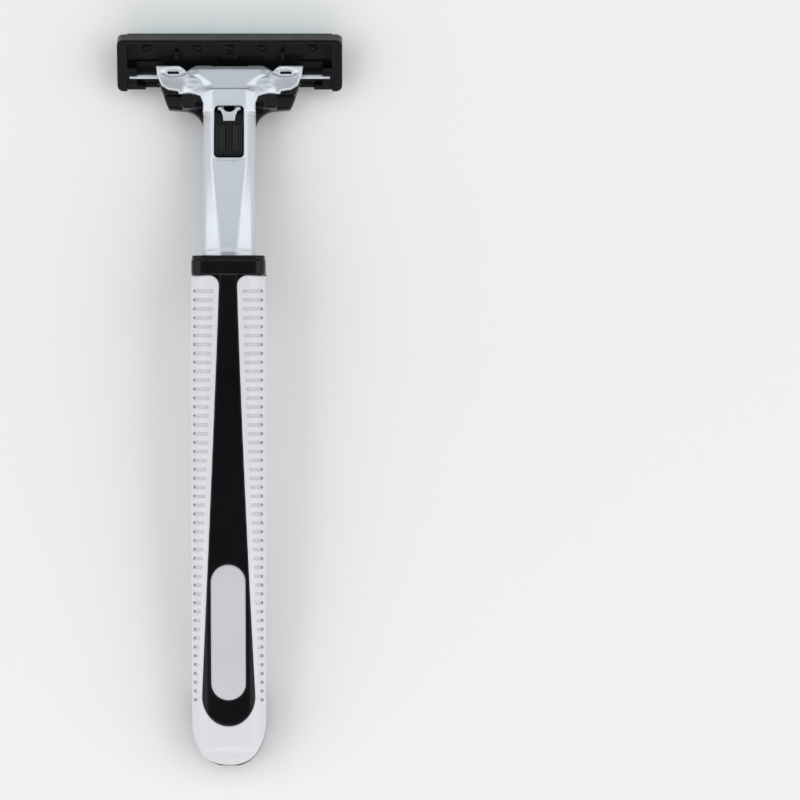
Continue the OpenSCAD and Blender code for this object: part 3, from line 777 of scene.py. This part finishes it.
SLIDER_N = 1.0
POST_X, POST_S, POST_R = 5.8, 29.9, 0.45
BALL_X, BALL_S, BALL_N, BALL_R = 1.78, 27.75, 1.95, 0.47
HORN_S = 27.0


def release_button(x, s, n):
    """Button with two round ridges."""
    plan = rect(x, s, -2.55, 2.55, 18.42, 25.2, 0.7)
    body = meet(plan, span(n, 1.4, 3.1), 0.25)
    ridge = meet(length(np.abs(x) - 1.15, n - 2.95) - 0.68, span(s, 19.1, 24.6), 0.4)
    return join(body, ridge, 0.12)


def release_fork(x, s, n):
    """Slider under the button: a forked head with two balls, and a bar with the arms' posts."""
    wide = np.abs(x)
    plate = meet(meet(wide - 2.4, span(s, 18.4, 25.0)), span(n, SLIDER_N, 1.38), 0.1)
    half = 1.14 + 0.19 * np.clip(s - 25.9, 0, 1.3)
    hollow = length(x, s - 28.35) - 1.25
    head = cut(meet(wide - half, span(s, 24.8, BALL_S), 0.1), hollow, 0.15)
    out = wide - 1.15 - 0.55 * np.clip((s - HORN_S) / 0.8, 0, 1)
    horn = length(out, s - np.clip(s, HORN_S, BALL_S)) - 0.27
    head = meet(join(head, horn, 0.2), span(n, SLIDER_N, 2.2), 0.22)
    ball = length(wide - BALL_X, s - BALL_S, n - BALL_N) - BALL_R
    rail = meet(rect(wide, s, 1.0, 1.9, 27.5, 29.5, 0.1), span(n, SLIDER_N, 1.38), 0.1)
    bar = meet(rect(wide, s, -1, 6.3, 29.3, 30.5, 0.2), span(n, SLIDER_N, 1.42), 0.1)
    post = meet(length(wide - POST_X, s - POST_S) - POST_R, span(n, -0.9, 1.2), 0.1)
    return join(join(join(plate, head), ball, 0.1), join(rail, join(bar, post), 0.1), 0.05)


# ---------- arms ----------

ROD_R, PIN_R = 0.79, 0.42
TAB_N0, TAB_N1, TAB_X1 = -0.82, 0.18, 8.15
ARM_TRAVEL, BUTTON_TRAVEL = 1.5, 2.6
CAM_HALF = 0.52


def bearing_arm(x, s, n):
    """Arm on the +X side: a tab with a diagonal cam slot, a lug below, a rod and a thin pin."""
    axle = length(s - PIVOT_S, n - PIVOT_N)
    rod = meet(axle - ROD_R, span(x, 6.7, 13.2), 0.12)
    rod = join(rod, meet(axle - PIN_R, span(x, 12.5, 18.8), 0.1))
    tab = meet(rect(x, s, 4.95, TAB_X1, 28.95, 33.3, 0.3), span(n, TAB_N0, TAB_N1), 0.08)
    root = meet(rect(x, s, 6.75, TAB_X1, 32.5, PIVOT_S, 0.1), span(n, TAB_N0, -0.1), 0.05)
    lug = meet(rect(x, s, 6.25, 9.35, 31.33, 31.87, 0.15), span(n, -2.7, -0.7), 0.1)
    dx, ds = x - POST_X, s - POST_S
    along = (dx * ARM_TRAVEL + ds * BUTTON_TRAVEL) / (ARM_TRAVEL ** 2 + BUTTON_TRAVEL ** 2)
    along = np.clip(along, 0, 1)
    slot = length(dx - ARM_TRAVEL * along, ds - BUTTON_TRAVEL * along) - CAM_HALF
    return cut(join(rod, join(tab, join(root, lug)), 0.1), meet(slot, -0.9 - n), 0.05)


def mirrored(field):
    """The same solid on the other side of the middle."""
    return lambda x, a, b: field(-x, a, b)


# ---------- cartridge ----------

TRAY_W = 2.0
TRAY_HALF = CART_HALF - 1.9
TRAY_U0, TRAY_WALL = 0.95, 0.85
SHELF_U, SHELF_W = 2.0, 3.25
SHELF_NOTCH_HALF = 15.7
GUARD_GROOVES = (0.95, 1.65, 2.35)
BLOCK_X0 = 17.3
SOCKET_R = 0.45
BLADE_SLOPE = math.radians(13)
BLADE_HALF, BLADE_BACK = 19.2, 5.15
EDGE_HALF_T, GRIND_LEN = 0.02, 0.45
LOWER_BLADE = (0.0, 0.0, 0.15)
UPPER_BLADE = (1.548, -0.409, -0.259)
CAP_BED = -0.419
STRIP_HALF, STRIP_GROOVE_HALF = 17.22, 17.3
edge = Frame(BLADE_SLOPE, (0, 0), 4.0, 0.15)

# The pegs' places along X and u, and their riveted heads in the tray.
PEGS = (0.0, 6.0, 15.5)
PEG_U, PEG_R = 7.94, 0.5
PEG_HEAD_W, PEG_HEAD_R, PEG_HEAD_FLAT = 2.02, 0.78, 1.6

# Side outlines, with u from guard to cap and w from the shaving plane to the back.
POCKET_SIDE = [(3.7, -3), (3.7, 0.3), (9.25, 1.52), (9.4, 1.52), (9.4, 0.6), (12, 0.6), (12, -3)]
BLOCK_SIDE = [(0.9, 1.5), (0.9, 4.9), (3.9, 4.9), (4.6, 4.3), (4.6, 1.5)]
CAP_SIDE = [
    (6.5, 0.62), (6.62, 0.0), (7.4, -0.2), (9.6, -0.1), (10.1, 0.25), (10.1, 0.57), (9.25, 0.57),
    (9.25, 1.4), (6.5, 1.4)
]
STRIP_SIDE = [(7.63, 0.14), (7.63, -0.2), (7.85, -0.32), (9.65, -0.24), (10.03, 0.04), (10.03, 0.14)]


def pegs(x, u, grow=0.0):
    """The pegs that hold the blades, seen along w."""
    wide = np.abs(x)
    return np.minimum.reduce([length(wide - at, u - PEG_U) - PEG_R - grow for at in PEGS])


def tray_details(x, u, w):
    """Raised marks in the tray: ribs, ledges, two segments of the far rim and a round pad."""
    wide = np.abs(x)
    rib = meet(rect(wide, u, 9.55, 10.25, 5.5, 7.5, 0.3), span(w, 1.8, 3.2), 0.25)
    ledge = meet(rect(wide, u, 11.8, 17.6, 5.0, 5.45, 0.2), span(w, 1.8, 2.75), 0.2)
    top = rect(wide, u, 2.3, 10.2, CART_DEPTH - 0.8, CART_DEPTH - 0.12, 0.3)
    top = meet(top, span(w, 4.0, 4.66), 0.2)
    pad = meet(length(x, u - 5.6) - 1.2, span(w, 1.8, 2.2), 0.1)
    return join(join(rib, join(ledge, top)), pad)


def cartridge_housing(x, u, w):
    """Housing: open tray at the back, blade pocket in the face, and blocks that hold the pins."""
    wide = np.abs(x)
    plan = rect(x, u, -CART_HALF, CART_HALF, 0, CART_DEPTH, 1.15)
    side = meet(span(w, 0, CART_T), line(u, w, (CART_DEPTH, 0.5), (CART_DEPTH - 0.6, 0)), 0.1)
    body = meet(plan, side, 0.3)
    tray = rect(x, u, -TRAY_HALF, TRAY_HALF, TRAY_U0, CART_DEPTH - TRAY_WALL, 0.4)
    body = cut(body, meet(tray, TRAY_W - w), 0.18)
    notch_low = meet(meet(wide - SHELF_NOTCH_HALF, u - SHELF_U), TRAY_W - w)
    shelf = meet(meet(wide - TRAY_HALF, u - SHELF_U), SHELF_W - w)
    body = cut(body, join(notch_low, shelf), 0.15)
    body = cut(body, meet(shape(u, w, POCKET_SIDE), wide - TRAY_HALF - 0.4), 0.04)
    body = cut(body, pegs(x, u, 0.05))
    grooves = np.minimum.reduce([length(u - at, w) - 0.2 for at in GUARD_GROOVES])
    body = cut(body, meet(grooves, wide - TRAY_HALF + 0.5), 0.08)
    block = meet(shape(u, w, BLOCK_SIDE), span(wide, BLOCK_X0, TRAY_HALF + 0.3), 0.2)
    body = join(body, block, 0.1)
    socket = rect(u, w, -1, PIVOT_U + SOCKET_R, PIVOT_W - SOCKET_R, 6, 0.1)
    body = cut(body, meet(socket, span(wide, 16, TRAY_HALF)), 0.05)
    return join(body, tray_details(x, u, w), 0.1)


def blade(front, low, high):
    """A blade with a two-sided ground edge, in the blades' own frame."""
    middle = (low + high) / 2

    def field(x, u, w):
        b, v = edge.find(u, w)
        ground = np.abs(v - middle) - EDGE_HALF_T - (b - front) * (high - middle) / GRIND_LEN
        body = meet(meet(ground, span(v, low, high)), b - BLADE_BACK)
        body = meet(body, np.abs(x) - BLADE_HALF)
        return cut(body, pegs(x, u, 0.03))

    return field


def cap(x, u, w):
    """Cap bar on the upper blade, with the strip's groove and the pegs riveted in the tray."""
    wide = np.abs(x)
    _, v = edge.find(u, w)
    body = meet(meet(shape(u, w, CAP_SIDE), v - CAP_BED, 0.04), wide - BLADE_HALF, 0.15)
    groove = meet(meet(7.58 - u, w - 0.16), wide - STRIP_GROOVE_HALF)
    body = cut(body, groove, 0.03)
    shank = meet(pegs(x, u), span(w, 0.2, 2.3))
    rise = (w - PEG_HEAD_W) * PEG_HEAD_FLAT
    head = np.minimum.reduce([length(wide - at, u - PEG_U, rise) - PEG_HEAD_R for at in PEGS])
    return join(join(body, shank), meet(head, PEG_HEAD_W - w), 0.04)


def strip(x, u, w):
    """Lubricating strip, a little proud of the cap."""
    return meet(shape(u, w, STRIP_SIDE), np.abs(x) - STRIP_HALF, 0.08)


# ---------- the pieces ----------

# Sizes of the grids' cells, along each frame's three axes.
HANDLE_CELL = (0.22, 0.15, 0.18)
PAD_CELL = (0.15, 0.15, 0.1)
HEAD_CELL = (0.16, 0.16, 0.14)
BUTTON_CELL = (0.1, 0.1, 0.1)
ARM_CELL = (0.11, 0.11, 0.09)
TRAY_CELL = (0.16, 0.13, 0.12)
BLADE_CELL = (0.3, 0.06, 0.05)
CAP_CELL = (0.2, 0.08, 0.08)
STRIP_CELL = (0.25, 0.08, 0.06)

handle_low, handle_high = arc(TIP_Y) - 0.8, arc(COLLAR_Y1) + 1.2

piece("front_shell_skin", "front_shell", "pearl_shell", front_shell, bow_place,
      (-7.4, handle_low, -1.6), (7.4, arc(COLLAR_Y0) + 0.8, 6.1), HANDLE_CELL)
piece("rear_grip_skin", "rear_grip", "grip_plastic", rear_grip, bow_place,
      (-7.4, arc(-59.5), -6.1), (7.4, arc(22.2), -0.3), HANDLE_CELL)
piece("moulded_core", "handle_core", "black_plastic", handle_core, bow_place,
      (-7.4, handle_low, -6.1), (7.4, handle_high, 6.2), HANDLE_CELL)
piece("soft_thumb_pad", "thumb_pad", "soft_pad", thumb_pad, bow_place,
      (-3.8, arc(PAD_Y0) - 1.2, 4.4), (3.8, arc(PAD_Y1) + 0.8, 6.2), PAD_CELL)
piece("silver_neck_cover", "neck_cover", "satin_silver", neck_cover, neck.place,
      (-14.3, -1.7, -2.1), (14.3, 36.7, 3.7), HEAD_CELL)
piece("black_neck_base", "neck_base", "black_plastic", neck_base, neck.place,
      (-13.9, -11.6, -4.6), (13.9, 36.5, 2.4), HEAD_CELL)
piece("ridged_button", "release_button", "black_plastic", release_button, neck.place,
      (-3.0, 18.0, 1.0), (3.0, 25.6, 4.0), BUTTON_CELL)
piece("forked_slider", "release_fork", "satin_silver", release_fork, neck.place,
      (-6.8, 18.0, -1.3), (6.8, 31.0, 2.8), BUTTON_CELL)
piece("right_bearing_arm", "bearing_arm_right", "satin_silver", bearing_arm, neck.place,
      (4.5, 28.5, -3.0), (19.2, 35.7, 0.7), ARM_CELL)
piece("left_bearing_arm", "bearing_arm_left", "satin_silver", mirrored(bearing_arm), neck.place,
      (-19.2, 28.5, -3.0), (-4.5, 35.7, 0.7), ARM_CELL)
piece("cartridge_tray", "cartridge_housing", "cartridge_plastic", cartridge_housing, cart.place,
      (-CART_HALF - 0.4, -0.5, -0.4), (CART_HALF + 0.4, CART_DEPTH + 0.5, 5.4), TRAY_CELL)
piece("guard_side_blade", "lower_blade", "steel", blade(*LOWER_BLADE), cart.place,
      (-19.6, 3.6, -0.2), (19.6, 9.4, 1.8), BLADE_CELL)
piece("cap_side_blade", "upper_blade", "steel", blade(*UPPER_BLADE), cart.place,
      (-19.6, 5.3, -0.4), (19.6, 9.5, 1.5), BLADE_CELL)
piece("cap_bar", "cartridge_cap", "cartridge_plastic", cap, cart.place,
      (-19.6, 6.1, -0.6), (19.6, 10.5, 3.0), CAP_CELL)
piece("teal_strip", "lubricating_strip", "strip", strip, cart.place,
      (-17.7, 7.3, -0.6), (17.7, 10.3, 0.4), STRIP_CELL)

# The CAD's own meshes that stay in the picture, and their materials.
KEPT = {
    "handle_weight": "steel", "tang_pin": "steel", "button_spring": "steel", "lever_pin": "steel",
    "lever_spring": "steel", "blade_spacer": "cartridge_plastic", "return_lever": "cartridge_plastic"
}
SHARP_ANGLE = math.radians(35)
for node, slot in KEPT.items():
    thing = frame["nodes"][node]
    thing.data.materials.clear()
    thing.data.materials.append(materials[slot])
    thing.data.shade_smooth()
    thing.data.set_sharp_from_angle(angle=SHARP_ANGLE)


# ---------- floor, light and camera ----------

FRAME_WIDTH = 0.150
CAMERA_HEIGHT = 1.2
CAMERA_X = 0.0318
FLOOR_SIZE = 6
FLOOR_DARK, FLOOR_LIGHT = (0.90, 0.90, 0.90), (0.92, 0.92, 0.92)
SKY, SKY_STRENGTH = (0.93, 0.95, 1.0, 1), 0.13
COOL = (0.93, 0.97, 1.0)


def floor():
    """A matt white sheet under the razor."""
    bpy.ops.mesh.primitive_plane_add(size=FLOOR_SIZE)
    plane = bpy.context.object
    plane.name = "floor"
    nodes = Nodes("floor")
    tone = nodes.mix(nodes.ramp(nodes.noise(3, 2), 0, 1), FLOOR_DARK, FLOOR_LIGHT)
    nodes.link(tone, nodes.shader.inputs["Base Color"])
    nodes.shader.inputs["Roughness"].default_value = 0.9
    plane.data.materials.append(nodes.material)


def panel(name, turn, tilt, size, radiance, tint=(1, 1, 1)):
    """A soft panel a metre away: turn is its bearing from +Y, tilt its angle from overhead."""
    turn, tilt = math.radians(turn), math.radians(tilt)
    place = Vector((math.sin(turn) * math.sin(tilt), math.cos(turn) * math.sin(tilt), math.cos(tilt)))
    lamp = bpy.data.lights.new(name, "AREA")
    lamp.shape = "RECTANGLE"
    lamp.size, lamp.size_y = size
    lamp.energy = radiance * math.pi * size[0] * size[1]
    lamp.color = tint
    thing = bpy.data.objects.new(name, lamp)
    thing.location = place
    thing.rotation_euler = (-place).to_track_quat("-Z", "Y").to_euler()
    bpy.context.scene.collection.objects.link(thing)


def studio():
    """A dim sky and four soft panels."""
    world = bpy.data.worlds.new("studio")
    world.use_nodes = True
    background = world.node_tree.nodes["Background"]
    background.inputs["Color"].default_value = SKY
    background.inputs["Strength"].default_value = SKY_STRENGTH
    bpy.context.scene.world = world
    panel("far_panel", 0, 41, (1.1, 0.8), 0.84, COOL)
    panel("near_panel", 180, 58, (1.2, 0.7), 1.65)
    panel("left_panel", -90, 53, (1.3, 1.1), 1.42)
    panel("right_panel", 90, 53, (1.3, 1.1), 1.42)


def camera():
    """A camera straight above, wide enough for FRAME_WIDTH at the floor's height."""
    data = bpy.data.cameras.new("camera")
    thing = bpy.data.objects.new("camera", data)
    bpy.context.scene.collection.objects.link(thing)
    thing.location = (CAMERA_X, 0, CAMERA_HEIGHT)
    data.lens = data.sensor_width * CAMERA_HEIGHT / FRAME_WIDTH
    bpy.context.scene.camera = thing


floor()
studio()
camera()
bpy.context.scene.view_settings.view_transform = "Standard"
